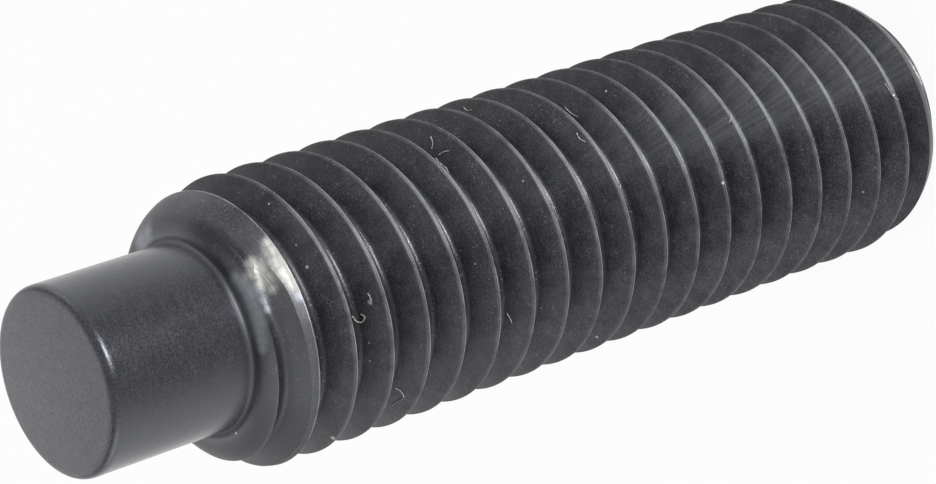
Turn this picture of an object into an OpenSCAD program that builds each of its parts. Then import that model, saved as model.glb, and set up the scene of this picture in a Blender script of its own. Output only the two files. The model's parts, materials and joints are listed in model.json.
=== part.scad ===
// Socket set screw with a cylindrical dog point and a right-hand coarse thread.
// Frame: the screw stands on its socket end, +Z up the axis, dog point on top.
// The origin is the centre of the flat rim that it stands on. Millimetres.

/* [Overall] */
// Length over everything, from the rim to the dog's face
overall_l = 29.9; // [14:0.1:38]

/* [Thread] */
// Outer diameter of the thread (an 8 mm coarse thread, less its allowance)
thread_d = 7.92; // [7.7:0.02:8]
// Pitch of the thread
pitch = 1.25; // [1.05:0.05:1.5]
// Angle of a flank to the plane square to the axis
flank_angle = 30; // [27:1:33]
// Depth of the thread from crest to root
thread_depth = 0.767; // [0.6:0.001:0.8]
// Width of the flat left on the crest
crest_w = 0.1; // [0.06:0.01:0.16]
// Angle round the axis at which a crest leaves the rim's plane
thread_start = 49.5; // [0:0.5:360]

/* [Dog point] */
// Diameter of the dog point
dog_d = 5.2; // [4.4:0.05:5.5]
// Length of the dog point above the shoulder
dog_l = 4.4; // [2:0.1:6]
// Edge break round the dog's face
dog_edge = 0.27; // [0.1:0.01:0.5]
// Fillet where the dog leaves the shoulder
dog_fillet = 0.1; // [0.05:0.01:0.25]

/* [Ends of the shank] */
// Diameter of the flat shoulder round the dog
shoulder_d = 6.5; // [6.2:0.05:7]
// Radius that rounds the shoulder into the thread
shoulder_r = 3; // [1:0.1:5]
// Reach along the shoulder of the soft curve that takes off its outer edge
shoulder_soft = 0.45; // [0.1:0.05:0.5]
// Diameter of the flat rim round the socket
rim_d = 6.5; // [6:0.05:7]
// Radius that rounds the rim into the thread
rim_r = 2.4; // [1:0.1:5]

/* [Hexagon socket] */
// Width of the socket across its flats
socket_af = 4; // [3:0.05:4.5]
// Depth of the full hexagon
socket_l = 5; // [3:0.1:8]
// Depth of the countersink that breaks the hexagon's corners at the mouth
socket_mouth = 0.35; // [0.1:0.05:0.5]
// Whole angle of the cone below the hexagon
drill_angle = 120; // [90:1:150]

/* [Hidden] */
// Stations round one turn of the thread
turn_steps = 48;
// Steps in a rounding arc
arc_steps = 6;
// Steps in the soft curve at the shoulder's edge, and the steps of its rounding
// that it takes the place of
soft_steps = 4;
soft_skip = 2;
// Sides of a round solid on the screen
round_steps = 96;
// How far the blank's side stands clear of the crests, so that it trims only the ends
trim_gap = 0.03;
// How far a cut runs past the face that it opens
past = 0.5;
// How far two solids that become one run into each other
seam = 0.01;
black_steel = [0.20, 0.20, 0.21];

thread_r = thread_d / 2;
root_r = thread_r - thread_depth;
blank_r = thread_r + trim_gap;
dog_r = dog_d / 2;
shank_l = overall_l - dog_l;
socket_r = socket_af / 2 / cos(30);
drill_r = socket_af / 2 - seam;
drill_tip = drill_r / tan(drill_angle / 2);
// The flat round the dog always reaches past the dog's fillet
flat_r = max(shoulder_d / 2 - shoulder_soft, dog_r + dog_fillet + seam);

// Turns of thread: those of the shank, and spare ones past each end for the
// blank to trim away
spare_turns = 2;
turns = ceil(shank_l / pitch) + 2 * spare_turns - 1;

// One pitch of the thread as height along the axis and radius: the two edges of
// the crest, then the two edges of the root
flank_h = thread_depth * tan(flank_angle);
thread_profile = [
    [-crest_w / 2, thread_r],
    [crest_w / 2, thread_r],
    [crest_w / 2 + flank_h, root_r],
    [pitch - crest_w / 2 - flank_h, root_r],
];
rows = len(thread_profile);

// A station is the profile turned to its angle and raised by its share of the lead
function station(s) =
    let (a = thread_start + 360 * s / turn_steps,
         lift = pitch * (s / turn_steps - spare_turns))
    [for (p = thread_profile) [p[1] * cos(a), p[1] * sin(a), lift + p[0]]];

// Number of row k's point at station s: the end of one profile is the start of
// the profile a turn later
function at(s, k) = k < rows ? s * rows + k : (s + turn_steps) * rows;

// Arc that rounds an end face of radius face_r into the blank's side, as pairs
// of radius and distance from that face
function end_arc(face_r, arc_r) =
    let (fall = acos((arc_r - (blank_r - face_r)) / arc_r))
    [for (i = [0:arc_steps])
        let (a = fall * (1 - i / arc_steps))
        [blank_r - arc_r * (1 - cos(a)), arc_r * (sin(fall) - sin(a))]];

// A pair of radius and distance from the shoulder as radius and height
function lifted(p) = [p[0], shank_l - p[1]];

// Soft curve over the corner c, from the point a to the point b
function soft_corner(a, c, b) = [for (i = [0:soft_steps])
    let (t = i / soft_steps)
    a * (1 - t) * (1 - t) + c * 2 * t * (1 - t) + b * t * t];

// Fillet at the foot of the dog, from the shoulder up to the dog's side
function foot_arc() = [for (i = [0:arc_steps])
    let (a = 90 * i / arc_steps)
    [dog_r + dog_fillet * (1 - sin(a)), shank_l + dog_fillet * (1 - cos(a))]];

// The turned blank: rim, side, rounded shoulder and dog point in one revolve
module blank() {
    rim = end_arc(rim_d / 2, rim_r);
    shoulder = end_arc(shoulder_d / 2, shoulder_r);
    rotate_extrude($fn = round_steps)
        polygon(concat(
            [[0, 0]],
            rim,
            [for (i = [arc_steps:-1:soft_skip + 1]) lifted(shoulder[i])],
            soft_corner(lifted(shoulder[soft_skip]), lifted(shoulder[0]),
                        [flat_r, shank_l]),
            foot_arc(),
            [[dog_r, overall_l - dog_edge], [dog_r - dog_edge, overall_l], [0, overall_l]]
        ));
}

// The thread as one strip that climbs round the axis, closed at each end by a
// fan to a point on the axis
module thread_form() {
    last = turns * turn_steps;
    points = concat(
        [for (s = [0:last + turn_steps]) each station(s)],
        [[0, 0, pitch * (0.5 - spare_turns)], [0, 0, pitch * (turns + 0.5 - spare_turns)]]
    );
    low = len(points) - 2;
    high = len(points) - 1;
    strip = [for (s = [0:last - 1], k = [0:rows - 1])
        each [[at(s, k), at(s, k + 1), at(s + 1, k + 1)], [at(s, k), at(s + 1, k + 1), at(s + 1, k)]]];
    turn_ends = [for (s = [0:turn_steps - 1])
        each [[low, at(s, 0), at(s + 1, 0)], [high, at(last + s + 1, 0), at(last + s, 0)]]];
    profile_ends = [for (k = [0:rows - 1])
        each [[low, at(0, k + 1), at(0, k)], [high, at(last, k), at(last, k + 1)]]];
    polyhedron(points, concat(strip, turn_ends, profile_ends));
}

// Plain core that starts inside the thread and carries on past the dog's face
module core() {
    translate([0, 0, shank_l - pitch])
        cylinder(r = (dog_r + dog_fillet + root_r) / 2, h = dog_l + 2 * pitch, $fn = round_steps);
}

// Broached hexagon, the cone below it and the countersink at its mouth
module hexagon_socket() {
    translate([0, 0, -past])
        cylinder(r = socket_r, h = socket_l + past, $fn = 6);
    translate([0, 0, socket_l - seam])
        cylinder(r1 = drill_r, r2 = 0, h = drill_tip, $fn = round_steps);
    translate([0, 0, -past])
        cylinder(r1 = socket_r + past, r2 = socket_r - socket_mouth, h = socket_mouth + past, $fn = round_steps);
}

module set_screw() {
    color(black_steel)
        difference() {
            intersection() {
                blank();
                union() {
                    thread_form();
                    core();
                }
            }
            hexagon_socket();
        }
}

set_screw();
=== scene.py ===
# %% [markdown]
# A black steel set screw with a dog point
#
# The screw is one piece of steel: a threaded shank, a plain cylinder called the dog
# point on one end, and a hexagon socket in the other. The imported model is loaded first,
# as the fixed frame that every size and place here comes from.

# %% Load the frame
import json
import math

import bpy
from mathutils import Matrix, Vector


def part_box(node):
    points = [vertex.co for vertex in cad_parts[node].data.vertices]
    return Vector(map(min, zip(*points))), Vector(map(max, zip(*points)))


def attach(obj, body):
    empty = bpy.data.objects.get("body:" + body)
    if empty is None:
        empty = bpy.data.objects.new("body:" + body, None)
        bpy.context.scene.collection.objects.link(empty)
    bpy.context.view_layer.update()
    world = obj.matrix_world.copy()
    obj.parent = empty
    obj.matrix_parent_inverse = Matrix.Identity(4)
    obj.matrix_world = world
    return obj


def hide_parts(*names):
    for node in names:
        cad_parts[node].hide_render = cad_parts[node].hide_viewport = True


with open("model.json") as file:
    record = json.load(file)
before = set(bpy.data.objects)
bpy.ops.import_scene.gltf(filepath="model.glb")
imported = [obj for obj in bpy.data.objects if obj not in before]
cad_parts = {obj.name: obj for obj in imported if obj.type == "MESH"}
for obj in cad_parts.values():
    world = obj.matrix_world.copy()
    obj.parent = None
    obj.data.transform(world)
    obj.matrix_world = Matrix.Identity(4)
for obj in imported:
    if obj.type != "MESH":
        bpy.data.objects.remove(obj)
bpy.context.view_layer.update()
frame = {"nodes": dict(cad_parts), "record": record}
mm = 0.001
bpy.context.scene.view_settings.view_transform = "Standard"
print("frame nodes:", sorted(frame["nodes"]))

# %% [markdown]
# Driving sizes
#
# The overall length, the dog point's size and the foot of its plain wall are read from the
# frame. The rest are the sizes of an 8 mm coarse thread and of the rounded ends, which a
# frame can't name.

# %% Sizes read from the frame
low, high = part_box("set_screw")
mounts = {m["name"]: m for m in frame["record"]["mounts"]}
dog = mounts["dog_point"]
overall_l = high.z
dog_r = dog["dims"]["r_mm"] * mm
dog_wall_z = dog["pos_m"][2] - dog["dims"]["length_mm"] * mm / 2
print(f"length {overall_l / mm:.2f} mm, dog point radius {dog_r / mm:.2f} mm")

# %% Sizes of the thread, the ends and the socket
pitch = 1.25 * mm
thread_r = 3.96 * mm
thread_depth = 0.767 * mm
crest_w = 0.1 * mm
flank_angle = math.radians(30)
thread_start = math.radians(49.5)

dog_fillet = 0.1 * mm
dog_edge = 0.27 * mm
shank_l = dog_wall_z - dog_fillet
shoulder_r, shoulder_round = 3.25 * mm, 3.0 * mm
rim_r, rim_round = 3.25 * mm, 2.4 * mm
trim_gap = 0.03 * mm
blank_side = thread_r + trim_gap

socket_af = 4.0 * mm
socket_l = 5.0 * mm
socket_mouth = 0.35 * mm
print(f"shank {shank_l / mm:.2f} mm, root radius {(thread_r - thread_depth) / mm:.3f} mm")

# %% [markdown]
# The camera
#
# The screw stands on its socket end, and the camera looks down on it and is rolled on its side, which
# lays the screw across the picture with the dog point at the lower left. The screw could have been
# laid down instead, but then it would no longer fit the packed model. The lens is long, because a
# short one would swell the near end. The camera comes first, because worn patches, spots of painted
# highlight and reflection, chips and lint are placed by the picture.

# %% Camera
eye = Vector((0, -77.678, 75.818)) * mm
aim = Vector((0.0656, 0, 15.789)) * mm
roll = math.radians(-108.623)
lens_mm, sensor_mm = 134.96, 36
nearest, farthest = 1 * mm, 10
picture = (936, 484)

camera = bpy.data.objects.new("camera", bpy.data.cameras.new("camera"))
bpy.context.scene.collection.objects.link(camera)
level = (aim - eye).to_track_quat("-Z", "Y").to_matrix().to_4x4()
camera.matrix_world = Matrix.Translation(eye) @ level @ Matrix.Rotation(roll, 4, "Z")
camera.data.lens = lens_mm
camera.data.sensor_width = sensor_mm
camera.data.clip_start = nearest
camera.data.clip_end = farthest
bpy.context.scene.camera = camera
bpy.context.view_layer.update()
print(f"camera {(aim - eye).length / mm:.1f} mm from its aim")

# %% [markdown]
# Making helpers
#
# Each part is shaped as by hand: start from a primitive, enter edit mode, extrude and
# scale. These helpers keep the calls short. Everything is deselected first, because an
# operator acts on all that is selected.

# %% Helpers for edit mode
def start_clean():
    """Leave edit mode and deselect everything."""
    if bpy.context.object and bpy.context.object.mode != "OBJECT":
        bpy.ops.object.mode_set(mode="OBJECT")
    bpy.ops.object.select_all(action="DESELECT")


def only(piece):
    """Select this piece alone."""
    start_clean()
    piece.select_set(True)
    bpy.context.view_layer.objects.active = piece
    return piece


def edit(piece, select="DESELECT", mode="VERT"):
    """Enter edit mode with none or all of the piece selected."""
    only(piece)
    bpy.ops.object.mode_set(mode="EDIT")
    bpy.ops.mesh.select_mode(type=mode)
    bpy.ops.mesh.select_all(action=select)


def apply_modifier(piece, kind, **settings):
    only(piece)
    modifier = piece.modifiers.new(kind.title(), kind)
    for name, value in settings.items():
        setattr(modifier, name, value)
    bpy.ops.object.modifier_apply(modifier=modifier.name)
    return piece


def triangles(piece):
    """How many triangles the faces of the piece make."""
    return sum(len(p.vertices) - 2 for p in piece.data.polygons)


def cut(piece, tool, operation):
    """Boolean of the piece with a tool, which is then thrown away."""
    apply_modifier(piece, "BOOLEAN", object=tool, operation=operation, solver="MANIFOLD")
    bpy.data.objects.remove(tool)
    return piece


# %% [markdown]
# Outlines
#
# The blank and the thread are both drawn as outlines of straight lines with small rounds
# at their corners. A real edge is never quite sharp, and the round is what catches light.
# A Bevel modifier could round the edges of the finished screw, but where the thread runs
# out it would meet slivers that it can't round. So the rounds are drawn in the outlines.
# One helper rounds a corner by an even curve between two points on its sides, and another
# gives the large round between an end face and the blank's side.

# %% Rounding a corner
def soft(first, corner, last, steps):
    """Points of a soft curve over the corner, from the first point to the last."""
    first, corner, last = Vector(first), Vector(corner), Vector(last)
    curve = []
    for i in range(steps + 1):
        s = i / steps
        curve.append(first * (1 - s) ** 2 + corner * 2 * s * (1 - s) + last * s ** 2)
    return [(p.x, p.y) for p in curve]


def rounded(before, corner, after, reach, steps):
    """A soft curve between two points on the corner's sides, reach away from it."""
    sides = [Vector(end) - Vector(corner) for end in (before, after)]
    first, last = (Vector(corner) + side.normalized() * reach for side in sides)
    return soft(first, corner, last, steps)


def end_arc(face_r, arc_r, steps):
    """Pairs of radius and distance from an end face, out to the blank's side."""
    fall = math.acos((arc_r - (blank_side - face_r)) / arc_r)
    angles = [fall * (1 - i / steps) for i in range(steps + 1)]
    return [(blank_side - arc_r * (1 - math.cos(a)), arc_r * (math.sin(fall) - math.sin(a)))
            for a in angles]


# %% [markdown]
# The blank
#
# The real blank is turned, so each section through it is a circle. It could be spun from
# half an outline, which leaves a seam to close. Here it is a stack of circles: one is
# drawn at the rim, and its face is extruded up the axis and scaled at each station of the
# outline. The stations are the rim, its round, the side, the rounded shoulder, the flat
# that the dog stands on, a small fillet, the dog itself and the broken edge round its
# face. The side stands just clear of the thread's crests, so that the blank trims only
# the ends of the thread.

# %% Outline of the blank
flat_r = dog_r + dog_fillet + trim_gap
corner_reach = 0.07 * mm
arc_steps, rim_steps, shoulder_steps, foot_steps, dog_steps = 18, 3, 10, 6, 8
soft_part = arc_steps // 3

rim_arc = end_arc(rim_r, rim_round, arc_steps)
shoulder_arc = [(r, shank_l - z)
                for r, z in reversed(end_arc(shoulder_r, shoulder_round, arc_steps))]
rim_corner = rounded((0, 0), rim_arc[0], rim_arc[1], corner_reach, rim_steps)
shoulder_corner = soft(shoulder_arc[-1 - soft_part], shoulder_arc[-1], (flat_r, shank_l),
                       shoulder_steps)
foot = rounded((thread_r, shank_l), (dog_r, shank_l), (dog_r, overall_l), dog_fillet, foot_steps)
dog_corner = rounded((dog_r, shank_l), (dog_r, overall_l), (0, overall_l), dog_edge, dog_steps)
outline = (rim_corner + rim_arc[1:] + shoulder_arc[:-1 - soft_part] + shoulder_corner + foot
           + dog_corner)
print(len(outline), "stations from rim to dog face")


# %% Extrude the blank
def lathe(name, stations, sides):
    """A closed solid of revolution, extruded from its first station to its last."""
    start_clean()
    r, z = stations[0]
    bpy.ops.mesh.primitive_circle_add(vertices=sides, radius=r, fill_type="NGON",
                                      location=(0, 0, z))
    piece = bpy.context.object
    piece.name = name
    bpy.ops.object.transform_apply()
    edit(piece, "SELECT", "FACE")
    for next_r, next_z in stations[1:]:
        bpy.ops.mesh.extrude_region_move(TRANSFORM_OT_translate={"value": (0, 0, next_z - z)})
        grow = next_r / r
        bpy.ops.transform.resize(value=(grow, grow, 1), center_override=(0, 0, 0))
        r, z = next_r, next_z
    bpy.ops.mesh.select_all(action="SELECT")
    bpy.ops.mesh.normals_make_consistent(inside=False)
    bpy.ops.object.mode_set(mode="OBJECT")
    return piece


turn_steps = 128
blank = lathe("blank", outline, turn_steps)
print("blank:", triangles(blank), "triangles")

# %% [markdown]
# The thread
#
# The real thread is rolled between two dies. It has straight flanks, a narrow flat on
# each crest and a rounded root. A coil could be laid round a cylinder, but it would leave
# a seam along each root. Here one pitch of the outline is drawn by extruding a vertex
# from point to point, and the Screw modifier turns it round the axis while it climbs,
# which makes one even skin. The outline starts and ends at the middle of a crest.

# %% Outline of one pitch
root_r = thread_r - thread_depth
flank_h = thread_depth * math.tan(flank_angle)
crest_edge, root_edge = crest_w / 2, crest_w / 2 + flank_h
crest_reach, root_reach = 0.046 * mm, 0.11 * mm
crest_steps, root_steps = 5, 4
crest_mid, root_mid = (thread_r, 0), (root_r, pitch / 2)
crest_corner, root_corner = (thread_r, crest_edge), (root_r, root_edge)
rise = ([crest_mid]
        + rounded(crest_mid, crest_corner, root_corner, crest_reach, crest_steps)[1:]
        + rounded(crest_corner, root_corner, root_mid, root_reach, root_steps) + [root_mid])
one_pitch = rise + [(r, pitch - z) for r, z in reversed(rise[:-1])]
print(len(one_pitch), "points in one pitch")

# %% Wind the thread
spare_turns = 2
first_z = -pitch * (thread_start / math.tau + spare_turns)
turns = math.ceil(shank_l / pitch) + 2 * spare_turns - 1

start_clean()
bpy.ops.mesh.primitive_plane_add(size=mm)
thread = bpy.context.object
thread.name = "thread"
edit(thread, "SELECT")
bpy.ops.mesh.merge(type="CENTER")
bpy.ops.transform.translate(value=(one_pitch[0][0], 0, first_z + one_pitch[0][1]))
for (r, z), (next_r, next_z) in zip(one_pitch, one_pitch[1:]):
    step = (next_r - r, 0, next_z - z)
    bpy.ops.mesh.extrude_region_move(TRANSFORM_OT_translate={"value": step})
bpy.ops.object.mode_set(mode="OBJECT")
apply_modifier(thread, "SCREW", axis="Z", angle=math.tau, screw_offset=pitch,
               iterations=turns, steps=turn_steps, render_steps=turn_steps)
print("strip:", turns, "turns,", triangles(thread), "triangles")

# %% [markdown]
# The rolling dies lift off before the shoulder, so the last groove grows shallow there and
# fades into it. Each point of the strip knows its groove by its height and its turn, and
# past the place where the fade starts it is moved out towards the crests' radius. No plain
# tool follows the helix like that, so the points are moved in a loop. Then the turns that
# meet are merged. The strip is open at both ends, so each end's edge is extruded and
# collapsed to one point near the axis, outside the blank.

# %% Fade the last groove
fade_start, fade_end = shank_l - 0.34 * mm, shank_l - 0.20 * mm
moved = 0
for vertex in thread.data.vertices:
    x, y, z = vertex.co
    radius = math.hypot(x, y)
    in_pitch = (z / pitch - math.atan2(y, x) / math.tau + thread_start / math.tau) % 1
    groove_z = z - (in_pitch - 0.5) * pitch
    faded = min(max((groove_z - fade_start) / (fade_end - fade_start), 0), 1)
    grow = (radius + (thread_r - radius) * faded) / radius
    vertex.co = (x * grow, y * grow, z)
    moved += grow > 1
print(moved, "points of the strip moved out by the fade")

# %% Close the strip
turn_gap = 0.001 * mm
edit(thread, "SELECT")
bpy.ops.mesh.remove_doubles(threshold=turn_gap)
bpy.ops.mesh.select_all(action="DESELECT")
bpy.ops.mesh.select_mode(type="EDGE")
bpy.ops.mesh.select_non_manifold(use_wire=False, use_multi_face=False,
                                 use_non_contiguous=False, use_verts=False)
bpy.ops.mesh.extrude_region_move(TRANSFORM_OT_translate={"value": (0, 0, 0)})
bpy.ops.mesh.merge(type="COLLAPSE")
bpy.ops.mesh.select_all(action="SELECT")
bpy.ops.mesh.normals_make_consistent(inside=False)
bpy.ops.object.mode_set(mode="OBJECT")
print("thread:", turns, "turns,", triangles(thread), "triangles")

# %% [markdown]
# Trim the thread by the blank
#
# The real grooves run out on the rounded shoulder and on the rim. Their ends could be
# shaped by hand, but where each one fades depends on the helix and on the round at once.
# So the thread gets a plain core that carries on through the dog, and a boolean keeps
# what that shares with the blank. The rounded ends cut the thread away little by little.

# %% Core, thread and blank into one
core_r = (dog_r + dog_fillet + root_r) / 2
core = lathe("core", [(core_r, shank_l - 2 * pitch), (core_r, overall_l + pitch)], turn_steps)
screw = cut(thread, core, "UNION")
screw.name = "screw_steel"
cut(screw, blank, "INTERSECT")
print("screw:", triangles(screw), "triangles")

# %% [markdown]
# The hexagon socket
#
# The key goes in at the end that the screw stands on. The real socket is drilled, broached
# to a hexagon and countersunk at its mouth. It could be left out, since the photograph
# doesn't show it, but whoever uses the screw may lay it down. The tool for it is a
# six-sided circle extruded up to the socket's depth, then in to the cone that the drill
# left. A short cone breaks the corners at the mouth.

# %% Cut the socket
half_corner, half_drill = math.radians(30), math.radians(60)
socket_r = socket_af / 2 / math.cos(half_corner)
tip_r, tip_h = 0.02 * mm, socket_af / 2 / math.tan(half_drill)
past = 0.5 * mm
weld_gap = 0.0005 * mm
smooth_angle = math.radians(28)
hexagon = lathe("hexagon", [(socket_r, -past), (socket_r, socket_l), (tip_r, socket_l + tip_h)], 6)
mouth = lathe("mouth", [(socket_r + past, -past), (socket_r - socket_mouth, socket_mouth)],
              turn_steps)
cut(screw, hexagon, "DIFFERENCE")
cut(screw, mouth, "DIFFERENCE")
edit(screw, "SELECT")
bpy.ops.mesh.remove_doubles(threshold=weld_gap)
bpy.ops.mesh.dissolve_degenerate(threshold=weld_gap)
bpy.ops.mesh.select_all(action="SELECT")
bpy.ops.mesh.normals_make_consistent(inside=False)
bpy.ops.object.mode_set(mode="OBJECT")
only(screw)
bpy.ops.object.shade_smooth_by_angle(angle=smooth_angle)
print("screw with its socket:", triangles(screw), "triangles")

# %% [markdown]
# A helper for materials
#
# A material is a net of nodes, and long sums of nodes are hard to read. This small class
# wraps one socket, so that a sum written in Python adds its Math nodes, and one method
# makes any other node. Each material starts from the place on its piece in mm.

# %% Sums of sockets
class Wire:
    """One output socket of the tree that is being made."""

    tree = None

    def __init__(self, socket):
        self.socket = socket

    @classmethod
    def node(cls, kind, settings=None, sockets=None, out=0):
        """Any node: its settings first, then the values or links of its sockets.

        The out is the number or the name of the socket to wrap. An end node has none.
        """
        made = cls.tree.nodes.new("ShaderNode" + kind)
        for name, value in (settings or {}).items():
            setattr(made, name, value)
        for name, value in (sockets or {}).items():
            if isinstance(value, Wire):
                cls.tree.links.new(value.socket, made.inputs[name])
            else:
                made.inputs[name].default_value = value
        return Wire(made.outputs[out]) if made.outputs else None

    def math(self, operation, *others):
        values = dict(enumerate((self,) + others))
        return Wire.node("Math", {"operation": operation}, values)

    def __add__(self, other):
        return self.math("ADD", other)

    __radd__ = __add__

    def __mul__(self, other):
        return self.math("MULTIPLY", other)

    __rmul__ = __mul__

    def __sub__(self, other):
        return self.math("SUBTRACT", other)

    def __rsub__(self, other):
        return Wire.node("Math", {"operation": "SUBTRACT"}, {0: other, 1: self})

    def __truediv__(self, other):
        return self.math("DIVIDE", other)

    def __abs__(self):
        return self.math("ABSOLUTE")

    def step(self, low, high):
        """0 below low, 1 above high, and smooth between. Reversed where low is above."""
        return Wire.node("MapRange", {"interpolation_type": "SMOOTHSTEP"},
                         {"Value": self, "From Min": low, "From Max": high})

    def part(self, index):
        """One of the three numbers of a vector."""
        return Wire.node("SeparateXYZ", None, {0: self}, out=index)

    def grow(self, factor):
        """A vector made larger."""
        return Wire.node("VectorMath", {"operation": "MULTIPLY"}, {0: self, 1: factor})


# %% Helpers for materials
def noise(where, size_mm, detail, rough):
    """Noise from 0 to 1 whose blobs are about size_mm wide."""
    return Wire.node("TexNoise", None, {"Vector": where, "Scale": 1 / size_mm, "Detail": detail,
                                        "Roughness": rough})


def blend(factor, first, second):
    """A colour that goes from first to second."""
    return Wire.node("Mix", {"data_type": "RGBA"}, {0: factor, 6: first, 7: second}, out=2)


def start_tree(owner):
    """Empty the tree of a material or a world, and make it the one that nodes go to."""
    owner.use_nodes = True
    Wire.tree = owner.node_tree
    Wire.tree.nodes.clear()


def place_in_mm():
    """Where a point lies on its piece, as a vector in mm."""
    return Wire.node("TexCoord", out="Object").grow((1 / mm,) * 3)


def send_out(shader, kind="OutputMaterial"):
    """Link a shader to the end of its tree."""
    Wire.node(kind, None, {"Surface": shader})


def dress(piece, material):
    """Give the piece this material and no other."""
    piece.data.materials.clear()
    piece.data.materials.append(material)


# %% [markdown]
# Places named in the picture
#
# Worn patches, spots of painted highlight and reflection, chips and lint sit at places named in the
# picture. They could be painted on a texture, but that needs an unwrapped mesh. Here each is named by
# its pixel, and a ray from the camera through that pixel finds the place on the steel, so the mark
# lies on the surface from any side.

# %% From a pixel to the steel
def on_steel(px, py):
    """Where the picture's pixel falls on the screw, and which way the surface faces."""
    half_width = picture[0] / 2
    spread = camera.data.sensor_width / 2 / camera.data.lens
    across = (px - half_width) / half_width * spread
    up = (picture[1] / 2 - py) / half_width * spread
    ray = (camera.matrix_world.to_3x3() @ Vector((across, up, -1))).normalized()
    hit, point, normal, face = screw.ray_cast(camera.matrix_world.translation, ray)
    if not hit:
        raise ValueError(f"pixel {px}, {py} misses the screw")
    return point, normal


# Each spot is a pixel across, a pixel down and a radius in mm
# Worn bare patches on the shoulder, painted bright where the light glints on them.
rub_and_highlight_spots = [(268, 243, 0.15), (274, 250, 0.24), (280, 260, 0.28), (287, 271, 0.28),
                 (294, 283, 0.20), (252, 263, 0.16), (259, 270, 0.24), (266, 279, 0.24),
                 (272, 288, 0.14)]
# Painted reflections: a pale bluish band on the flat by the dog, and a sheen on the shoulder's upper
# edge.
sheen_spots = [(235, 280, 0.18), (242, 286, 0.26), (249, 292, 0.24), (247, 300, 0.24),
               (250, 308, 0.25), (253, 316, 0.24), (255, 324, 0.22), (257, 332, 0.20),
               (259, 340, 0.17), (261, 348, 0.13), (258, 290, 0.17), (262, 300, 0.15),
               (266, 309, 0.10), (300, 296, 0.12), (141, 239, 0.30), (147, 232, 0.24)]
chips = [(269, 204, 0.030), (307, 267, 0.040), (370, 302, 0.055), (333, 438, 0.060),
         (723, 183, 0.040), (597, 337, 0.040), (606, 91, 0.030), (894, 95, 0.035),
         (863, 192, 0.030), (236, 433, 0.035), (369, 343, 0.022), (370, 361, 0.022),
         (523, 181, 0.025), (475, 264, 0.022), (541, 308, 0.022), (296, 245, 0.022)]
first_spot = on_steel(*rub_and_highlight_spots[0][:2])[0]
print("first rubbed spot, in mm:", [round(c / mm, 2) for c in first_spot])

# %% [markdown]
# Black oxide steel
#
# The steel is blackened in a hot bath, which leaves a thin dark skin with a dull sheen.
# A black paint would look too flat, because this skin reflects like a very dark metal and
# most of its colour comes from what it mirrors. So the shader is partly metallic with a
# dark colour. Its wear follows the thread: a point's height less its share of the turn says
# how far it is from the nearest crest and from the nearest root. The side of a point runs
# from -1 at the screw's lower outline in the picture to 1 at its upper outline. Places
# are in mm here, and so is each length that one is compared with.

# %% Where a point is on the screw
steel = bpy.data.materials.new("black_oxide_steel")
start_tree(steel)
place = place_in_mm()
x, y, z = (place.part(i) for i in range(3))
radius = (x * x + y * y).math("SQRT")
side, front = x / radius, y / radius
turned = y.math("ARCTAN2", x) / math.tau

pitch_mm, shank_mm, length_mm = pitch / mm, shank_l / mm, overall_l / mm
thread_mm, dog_mm, rim_mm = thread_r / mm, dog_r / mm, rim_r / mm
phase = z / pitch_mm - turned + thread_start / math.tau
above_crest = ((phase + 0.5).math("FRACT") - 0.5) * pitch_mm
above_root = (phase.math("FRACT") - 0.5) * pitch_mm
on_dog = z.step(shank_mm - 0.05, shank_mm + 0.05)
on_shank = 1 - on_dog
print(f"crests repeat every {pitch_mm} mm up to the shoulder at {shank_mm:.2f} mm")

# %% [markdown]
# The rounded ends cut the crests down, so the land that a cloth or a thumb rubs follows
# the blank's outline there. A point well below the land and far from a crest is in a root.


# %% How far a point lies below the land
def arc_radius(below_face, face_r, arc_r):
    """Radius of the blank at a distance from an end face, in mm, as a Wire."""
    fall = math.acos((arc_r - (blank_side - face_r)) / arc_r)
    lean = (math.sin(fall) - below_face / (arc_r / mm)).math("MAXIMUM", 0)
    drop = 1 - (1 - lean * lean).math("SQRT")
    return blank_side / mm - drop * (arc_r / mm)


shoulder_side = arc_radius(shank_mm - z, shoulder_r, shoulder_round)
rim_side = arc_radius(z, rim_r, rim_round)
land = shoulder_side.math("MINIMUM", rim_side).math("MINIMUM", thread_mm)
below_land = land - radius
half_crest = crest_w / 2 / mm + (thread_mm - radius) * math.tan(flank_angle)
past_edge = above_crest + half_crest
in_root = on_shank * abs(above_crest).step(0.34, 0.60) * below_land.step(0.04, 0.16)
print(f"the land is {thread_mm:.2f} mm from the axis between the rounded ends")

# %% [markdown]
# Close to, the skin has a fine grain over soft blotches. These could be painted on an
# unwrapped mesh, but noise in space needs no seam on a thread that winds round and round.
# The tool that turned the dog left rings, which come from noise that is drawn out round
# the axis. They draw together towards the middle of the dog's face. Dust lies in some of
# the blotches on the threads.

# %% Grain, rings and dust
grain = noise(place, size_mm=0.045, detail=3, rough=0.6)
fine = noise(place, size_mm=0.02, detail=2, rough=0.5)
blotch = noise(place, size_mm=0.5, detail=4, rough=0.6)
wide = noise(place, size_mm=2.5, detail=2, rough=0.5)
round_pull = (radius * 3.3).math("MINIMUM", 5)
ring_place = Wire.node("CombineXYZ", None, {
    0: side * round_pull, 1: front * round_pull, 2: radius * 20 + z * on_dog * 12})
rings = noise(ring_place, size_mm=1.0, detail=3, rough=0.6)
mottle = (grain * 0.7 + fine * 0.3 + (blotch - 0.5) * (0.12 + 0.30 * on_shank)
          + (rings - 0.5) * 0.2)
dust_grain = noise(place, size_mm=0.075, detail=2, rough=0.6)
dust = dust_grain.step(0.60, 0.74) * on_shank * blotch.step(0.35, 0.65)
speck_grain = noise(place, size_mm=0.06, detail=1, rough=0.5)
specks = speck_grain.step(0.66, 0.76) * on_shank * wide.step(0.42, 0.56)
print("grain, rings and dust:", len(Wire.tree.nodes), "nodes so far")
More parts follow.
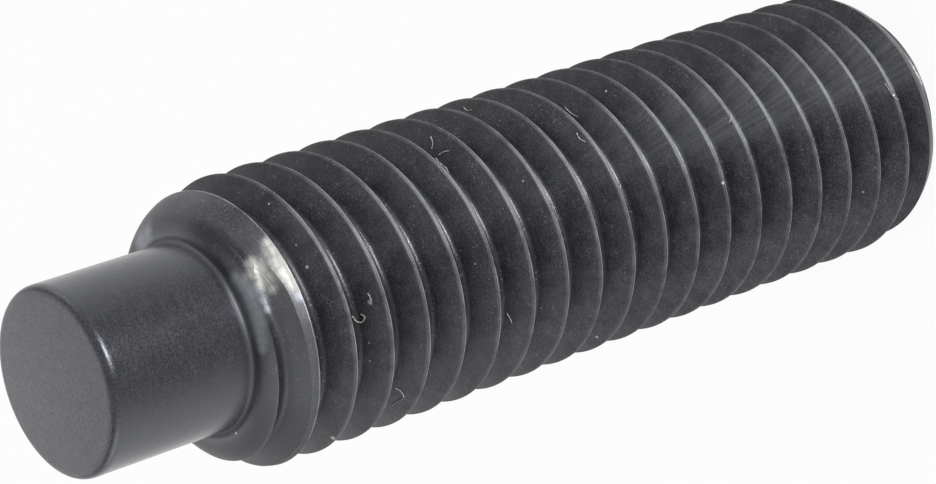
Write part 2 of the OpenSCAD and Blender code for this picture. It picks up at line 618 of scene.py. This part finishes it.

# %% [markdown]
# The skin is painted paler where light falls and glints: a painted sheen along both outlines of the
# dog, painted light and a painted reflection on the shoulder, painted light down the shank's lower
# side, and a painted sheen across the flanks in the band of sides that faces the light, broken by
# streaks drawn out along the axis and strongest over the shank's other end. The corner at the dog's
# foot and the last groove get painted shade instead, and stay black. Each one is a mask that a colour
# is laid on through later.

# %% Painted sheens and light, and painted shade in corners
# Heights in mm: where the painted light on the shank's lower side grows, and where the painted sheen
# on the flanks fades.
lower_light_grows, sheen_fades = (8, 20), (15, 8)
# Painted sheen along both outlines of the dog's wall, where it mirrors the bright ground at a grazing
# angle.
dog_side_sheen = on_dog * radius.step(dog_mm - 0.1, dog_mm) * abs(side - 0.08).step(0.30, 1.0)
# Painted light: the shank's lower side is paler, more so towards the dog, but not in the roots.
shank_lower_light = on_shank * side.step(0.0, -0.6) * z.step(*lower_light_grows) * (1 - in_root)

from_wall, from_shoulder = radius - dog_mm, z - shank_mm
foot_gap = (from_wall * from_wall + from_shoulder * from_shoulder).math("SQRT")
in_corner = foot_gap.step(0.22, 0.10)
last_turn = z.step(shank_mm - 1.5, shank_mm - 0.9) * on_shank
near_end = (last_turn + in_corner * 0.8).math("MINIMUM", 1)
# Painted light on the shoulder's lower side, and a painted reflection along its upper edge by the dog.
shoulder_sheen = near_end * (side.step(0.75, 0.15) + side.step(0.80, 0.97))

wipe_place = Wire.node("CombineXYZ", None, {0: side * 4, 1: front * 4, 2: z * 0.12})
wiped = noise(wipe_place, size_mm=0.11, detail=3, rough=0.65).step(0.36, 0.66)
# Painted sheen on the flanks in the band of sides that faces the light, broken by streaks drawn out
# along the axis, and strongest towards the rim.
flank_sheen = (side.step(-0.05, 0.27) * side.step(0.72, 0.45) * (0.25 + 0.75 * z.step(*sheen_fades))
        * on_shank * (0.4 + 0.6 * wiped))

# Painted shade along the bottom of the last groove, by the shoulder.
root_z = z - above_root
last_groove_shade = (abs(above_root).step(0.17, 0.03) * root_z.step(shank_mm - 0.12, shank_mm - 0.30)
               * z.step(shank_mm - 1.2, shank_mm - 0.8))
print(f"haze fades from {sheen_fades[1]} to {sheen_fades[0]} mm above the rim")

# %% [markdown]
# The skin is thinnest on the crests, and the metal shows through there as fine pale lines
# along their edge on the socket's side. A node that finds sharp edges could place them,
# but it would catch every other edge too, and the thread's own rule gives this one edge.
# The lines are broken, as wear is. The crests that face the light get a painted highlight, and the
# corner of the rim a painted reflection.

# %% Worn lines and painted highlights along the crests
worn_here = (blotch * 0.7 + wide * 0.3).step(0.30, 0.62)
on_land = below_land.step(0.12, 0.05)
on_thread = radius.step(dog_mm + 0.55, dog_mm + 0.8) * on_shank
line = past_edge.step(0.05, 0.015) * on_land * on_thread * (0.16 + 0.66 * worn_here)
on_crest = (radius.step(thread_mm - 0.10, thread_mm - 0.04) * on_shank
            * abs(above_crest).step(0.09, 0.055))
# Painted highlight on the crests in the band of sides that faces the light, laid over their wear.
crest_highlight = side.step(-0.05, 0.2) * side.step(0.75, 0.45)
crest_wear_and_highlight = on_crest * (0.02 + 0.12 * worn_here + 0.2 * crest_highlight)
# Painted reflection along the corner of the rim.
rim_sheen = z.step(0.30, 0.05) * radius.step(rim_mm - 0.05, rim_mm + 0.02)
print("worn lines and rim:", len(Wire.tree.nodes), "nodes so far")

# %% [markdown]
# Something rubbing on the shoulder wore bare patches with the tool's rings in them, and these are
# painted bright where the light glints on them. A pale bluish band on the flat by the dog and a sheen
# on the shoulder's upper edge are painted reflections. Small chips show bright metal. Noise could
# scatter such marks, but not at their given places. So each one is a ball round its place from the
# picture, with its edge made ragged by the grain.


# %% Spots from the picture
def spots(places, blur, ragged):
    """1 inside the spots and 0 outside, with ragged edges."""
    total = None
    for px, py, size in places:
        centre = Vector(on_steel(px, py)[0]) / mm
        gap = Wire.node("VectorMath", {"operation": "DISTANCE"}, {0: place, 1: centre}, out=1)
        spot = (gap / size + ragged).step(1 + blur, 1 - blur)
        total = spot if total is None else total.math("MAXIMUM", spot)
    return total


tatter = (blotch - 0.5) * 1.5 + (grain - 0.5) * 1.1
streaks = 0.5 + 0.5 * rings.step(0.36, 0.62)
# Worn bare patches on the shoulder with a painted highlight.
rub_and_highlight = spots(rub_and_highlight_spots, 0.85, tatter) * streaks
# Painted bluish reflection on the flat by the dog, and painted sheen on the shoulder's upper edge.
soft_sheen = spots(sheen_spots, 0.9, tatter) * (0.4 + 0.6 * streaks)
chipped = spots(chips, 0.5, (grain - 0.5) * 2.2)
print(len(rub_and_highlight_spots) + len(sheen_spots) + len(chips), "spots")

# %% [markdown]
# The colour is laid on as paint would be, one layer over the last: dark and light skin, a darker shank
# with painted shade in its roots, painted sheens and painted light, painted shade on the upper side
# and in the last groove, dust, worn lines with painted highlights, a painted reflection on the rim,
# painted bluish reflections, painted shade at the foot, worn bare patches with a painted highlight,
# and chips. Each layer has a mask and a colour, so any one of them can be changed alone. The sheen is
# duller on the threads, in the worn bare patches and on the dog's broken edge than on its turned wall.
# The grain and the rings are too fine for geometry, so they are a shallow bump.

# %% Colours of the skin, the bare metal and the painted light and shade
# Black skin, also laid on as painted shade in the roots, the last groove, the foot and the upper side.
black_skin_and_shade = (0.008, 0.008, 0.010, 1)
skin_dark = (0.020, 0.021, 0.026, 1)
skin_light = (0.068, 0.070, 0.081, 1)
# Paler grey of the painted sheens and the painted light.
painted_light_grey = (0.10, 0.103, 0.112, 1)
dusty = (0.15, 0.15, 0.145, 1)
# Worn metal on the crests, also the colour of their painted highlight.
crest_wear_and_highlight_grey = (0.24, 0.245, 0.255, 1)
# Grey-olive of the painted reflection on the rim's corner.
rim_sheen_grey = (0.19, 0.19, 0.17, 1)
# Bare metal of the worn patches, made light enough to paint the highlight on them.
rubbed_and_lit = (0.35, 0.345, 0.325, 1)
# Bluish grey of the painted reflections by the dog.
bluish_sheen = (0.20, 0.21, 0.235, 1)
chip = (0.36, 0.36, 0.34, 1)
print("darkest and lightest:", black_skin_and_shade[:3], chip[:3])

# %% Layers of colour
on_face = on_dog * z.step(length_mm - 0.1, length_mm)
lightness = 0.14 + 0.31 * (on_face + on_shank).math("MINIMUM", 1)
contrast = 0.7 + 0.3 * on_shank
# Painted shade towards the shank's upper outline, except by the shoulder.
painted_upper_shade = on_shank * (1 - near_end) * side.step(0.55, 0.95)
# Painted shade in the corner at the dog's foot and on the shoulder's lower side.
foot_shade = in_corner * 0.05 + near_end * 0.45 * side.step(-0.6, -0.95)
layers = [
    # A darker shank, with painted shade in the roots that is deeper towards the lower outline.
    (on_shank * 0.33 + in_root * (0.45 + 0.30 * side.step(0.1, -0.4)), black_skin_and_shade),
    (dog_side_sheen * 0.85, painted_light_grey),
    (shoulder_sheen * 0.42 + flank_sheen * 0.7 + shank_lower_light * 0.2, painted_light_grey),
    (painted_upper_shade * 0.5, black_skin_and_shade),
    (last_groove_shade * 0.85, black_skin_and_shade),
    ((dust * 0.6 + specks * 0.8).math("MINIMUM", 1), dusty),
    ((crest_wear_and_highlight + line).math("MINIMUM", 1), crest_wear_and_highlight_grey),
    (rim_sheen * 0.45, rim_sheen_grey),
    (soft_sheen, bluish_sheen),
    (foot_shade, black_skin_and_shade),
    (rub_and_highlight, rubbed_and_lit),
    (chipped, chip),
]
colour = blend((mottle.step(0.38, 0.62) - 0.5) * contrast + lightness, skin_dark, skin_light)
for mask, tint in layers:
    colour = blend(mask, colour, tint)
print(len(layers), "layers over the skin")

# %% Roughness, bump and shader
satin = (rub_and_highlight + z.step(shank_mm - 2.2, shank_mm - 1.4) * on_shank * 0.5).math("MINIMUM", 1)
on_edge = (on_dog * z.step(length_mm - 0.32, length_mm - 0.22)
           * radius.step(dog_mm - 0.35, dog_mm - 0.25))
roughness = (0.13 + 0.12 * on_shank + (0.04 + 0.08 * on_shank) * blotch + 0.05 * grain
             + 0.10 * on_edge + 0.24 * satin + 0.24 * on_crest + 0.3 * in_corner)
height = grain * 0.7 + fine * 0.3 + rings * 0.6 - rub_and_highlight * 0.8 + dust * 0.5
bump_depth, bump_strength = 0.01 * mm, 0.6
part_metal, part_mirror = 0.55, 0.5
bump = Wire.node("Bump", None, {
    "Strength": bump_strength, "Distance": bump_depth, "Height": height})
send_out(Wire.node("BsdfPrincipled", None, {
    "Base Color": colour, "Roughness": roughness, "Metallic": part_metal,
    "Specular IOR Level": part_mirror, "Normal": bump}))
dress(screw, steel)
print("steel:", len(Wire.tree.nodes), "nodes")

# %% [markdown]
# Lint
#
# A few loose fibres cling to the threads. Hair particles could make them, but these few
# have known places. A fibre is drawn by extruding a vertex through the places under a few
# pixels, and turned into a curve that gets a thickness, and then a mesh again. It stands
# just off the steel. Each fibre below is a row of pixels, across and down.

# %% Places of the fibres
fibres = [
    [(352, 316), (356, 321), (362, 322), (365, 317), (361, 314)],
    [(436, 158), (440, 163), (446, 168), (449, 173)],
    [(431, 137), (433, 143), (432, 149)],
    [(439, 155), (444, 152), (449, 151)],
    [(577, 133), (580, 139), (586, 142)],
    [(565, 107), (571, 113), (578, 117)],
    [(396, 388), (401, 391), (404, 397), (398, 401), (392, 405)],
    [(507, 313), (510, 318), (512, 323)],
    [(464, 107), (468, 111), (472, 110)],
    [(729, 112), (731, 118), (729, 123)],
    [(885, 83), (894, 97), (898, 100)],
    [(368, 293), (371, 299), (371, 304)],
]
print(len(fibres), "fibres")


# %% An even curve through pixels
def smooth_path(pixels, steps):
    """Pixels of an even curve through the given ones."""
    ends = [pixels[0]] + pixels + [pixels[-1]]
    path = [pixels[0]]
    for a, b, c, d in zip(ends, ends[1:], ends[2:], ends[3:]):
        for i in range(1, steps + 1):
            t = i / steps
            path.append(tuple(
                q + t * ((r - p) + t * ((2 * p - 5 * q + 4 * r - s) + t * (3 * q - p - 3 * r + s))) / 2
                for p, q, r, s in zip(a, b, c, d)))
    return path


path_steps = 4
print(len(smooth_path(fibres[0], path_steps)), "points along the first fibre")

# %% Draw the fibres
fibre_r = 0.014 * mm
fibre_lift = fibre_r * 1.2


def draw_fibre(pixels):
    points = []
    for px, py in smooth_path(pixels, path_steps):
        point, normal = on_steel(px, py)
        points.append(point + normal * fibre_lift)
    start_clean()
    bpy.ops.mesh.primitive_plane_add(size=mm)
    fibre = bpy.context.object
    edit(fibre, "SELECT")
    bpy.ops.mesh.merge(type="CENTER")
    bpy.ops.transform.translate(value=points[0])
    for first, last in zip(points, points[1:]):
        bpy.ops.mesh.extrude_region_move(TRANSFORM_OT_translate={"value": last - first})
    bpy.ops.object.mode_set(mode="OBJECT")
    bpy.ops.object.convert(target="CURVE")
    fibre.data.bevel_depth = fibre_r
    fibre.data.bevel_resolution = 1
    fibre.data.use_fill_caps = True
    bpy.ops.object.convert(target="MESH")
    return fibre


drawn_fibres = [draw_fibre(pixels) for pixels in fibres]
print("first fibre:", triangles(drawn_fibres[0]), "triangles")

# %% Join the fibres
start_clean()
for fibre in drawn_fibres:
    fibre.select_set(True)
bpy.context.view_layer.objects.active = drawn_fibres[0]
bpy.ops.object.join()
lint = bpy.context.object
lint.name = "lint"
bpy.ops.object.transform_apply()
edit(lint, "SELECT")
bpy.ops.mesh.remove_doubles(threshold=weld_gap)
bpy.ops.mesh.normals_make_consistent(inside=False)
bpy.ops.object.mode_set(mode="OBJECT")
print("lint:", triangles(lint), "triangles")

# %% [markdown]
# Lint is fluff off cloth or paper: pale, dull and uneven. A hair shader would be hard to
# see on fibres this thin, so one noise mottles both the colour and the roughness.

# %% Lint material
fluff = bpy.data.materials.new("grey_fluff")
start_tree(fluff)
fluff_dark, fluff_light = (0.12, 0.12, 0.11, 1), (0.42, 0.42, 0.40, 1)
shade = noise(place_in_mm(), size_mm=0.08, detail=3, rough=0.6)
fluff_colour = blend(shade.step(0.3, 0.7), fluff_dark, fluff_light)
send_out(Wire.node("BsdfPrincipled", None, {
    "Base Color": fluff_colour, "Roughness": 0.8 + 0.1 * shade}))
dress(lint, fluff)
print("lint material:", len(Wire.tree.nodes), "nodes")

# %% [markdown]
# Floor and light
#
# The photograph has a plain white ground. Very strong light could make the floor white,
# but it would wash out the dark steel. So the floor is a wide sheet that the camera and
# the reflections see as plain white, with a share of its own lit colour that keeps the
# shadow. The world does the same above it. Wide soft lamps stand round the screw, as in a
# light tent, and a small one in front draws the bright lines on the edges. The small one
# stands below the level of the dog's face, so that the face never mirrors it.

# %% Who looks at the white
def seen_directly():
    """1 for rays of the camera, of mirrors and of glass, and 0 for the light itself."""
    camera_ray, mirror_ray, glass_ray = (Wire.node("LightPath", out=f"Is {kind} Ray")
                                         for kind in ("Camera", "Glossy", "Transmission"))
    return camera_ray.math("MAXIMUM", mirror_ray).math("MAXIMUM", glass_ray)


# %% Floor
floor_size = 4.0
white_share = 0.93
paper_grey = (0.8, 0.8, 0.8, 1)
pure_white = (1, 1, 1, 1)
start_clean()
bpy.ops.mesh.primitive_plane_add(size=floor_size)
floor = bpy.context.object
floor.name = "floor"
paper = bpy.data.materials.new("white_paper")
start_tree(paper)
lit = Wire.node("BsdfDiffuse", None, {"Color": paper_grey})
white = Wire.node("Emission", None, {"Color": pure_white, "Strength": 1.0})
send_out(Wire.node("MixShader", None, {0: seen_directly() * white_share, 1: lit, 2: white}))
dress(floor, paper)
print(f"floor {floor_size} m wide, {white_share:.0%} plain white to the camera")

# %% World
tent_level = 0.6
world = bpy.data.worlds.new("tent")
bpy.context.scene.world = world
start_tree(world)
strength = seen_directly() * (1 - tent_level) + tent_level
send_out(Wire.node("Background", None, {"Color": pure_white, "Strength": strength}), "OutputWorld")
print(f"world lights at {tent_level} and is seen as 1")


# %% Lamps
lit_height = 0.6


def lamp(name, direction, distance, size, radiance):
    """A square soft lamp that faces the middle of the screw from that direction."""
    data = bpy.data.lights.new(name, "AREA")
    data.shape = "SQUARE"
    data.size = size
    data.energy = radiance * math.pi * size * size
    made = bpy.data.objects.new(name, data)
    bpy.context.scene.collection.objects.link(made)
    target = Vector((0, 0, overall_l * lit_height))
    made.location = target + Vector(direction).normalized() * distance
    made.rotation_euler = (target - made.location).to_track_quat("-Z", "Y").to_euler()
    return made


# Each lamp: a direction, then a distance and a size in metres, and how bright it looks
lamp("front_key", (0.26, -0.96, -0.09), 0.15, 0.05, 66)
lamp("face_light", (0.0, 0.79, 0.61), 0.35, 0.34, 0.8)
lamp("low_side", (-0.95, 0.05, 0.20), 0.35, 0.32, 1.25)
lamp("high_side", (0.95, 0.10, 0.20), 0.35, 0.28, 0.85)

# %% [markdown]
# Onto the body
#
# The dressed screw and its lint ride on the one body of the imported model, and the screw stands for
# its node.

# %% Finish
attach(screw, "root")
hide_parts("set_screw")
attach(lint, "root")

bpy.context.view_layer.update()
